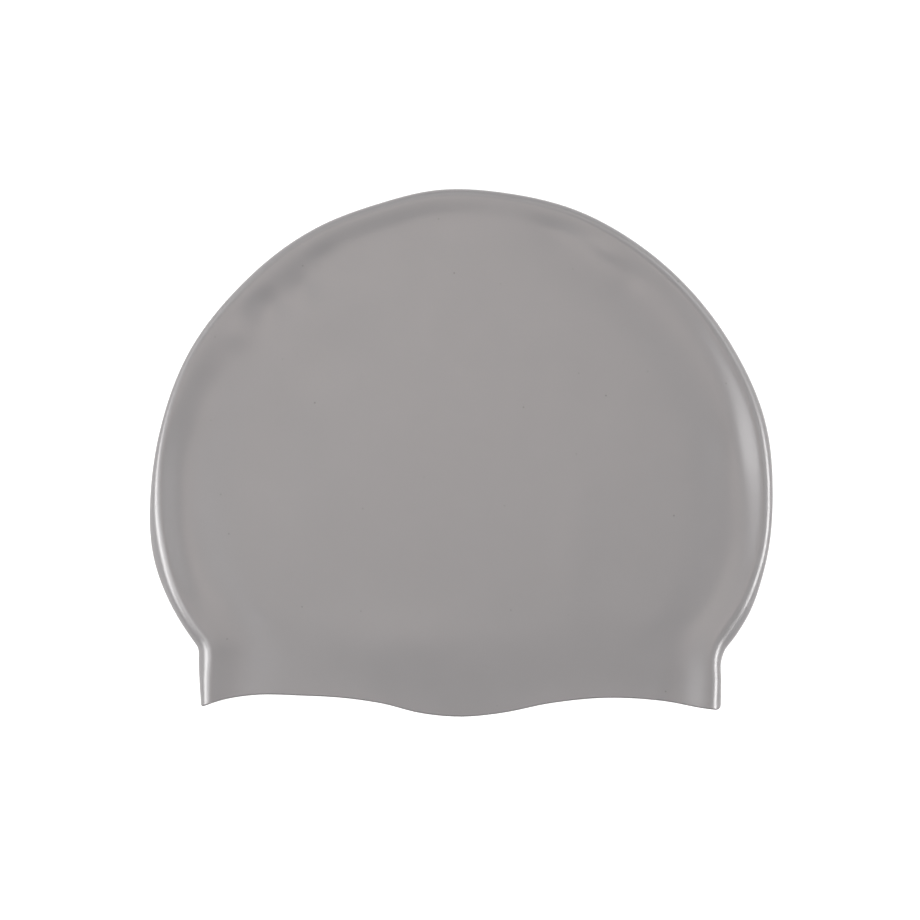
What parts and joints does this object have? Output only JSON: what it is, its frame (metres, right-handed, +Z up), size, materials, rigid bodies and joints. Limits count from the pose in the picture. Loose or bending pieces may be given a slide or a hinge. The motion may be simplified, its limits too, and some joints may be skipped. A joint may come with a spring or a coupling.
{
  "type": "swim cap",
  "caption": "Moulded silicone swim cap, plain, lying flat with its open hem to the front: a thin hollow dome-shaped shell with a rounded roll along the fold.",
  "frame": {"origin": "centre of the overall box in plan, at the level the cap lies on", "axes": "+Z up, square to the lying cap; +Y towards the crown, so the open hem faces -Y; +X to the right, across the cap"},
  "size_m": [0.224, 0.19, 0.0099],
  "materials": {
    "silicone": "satin silver-grey silicone rubber"
  },
  "bodies": {
    "root": {"cap": "silicone"}
  },
  "joints": []
}
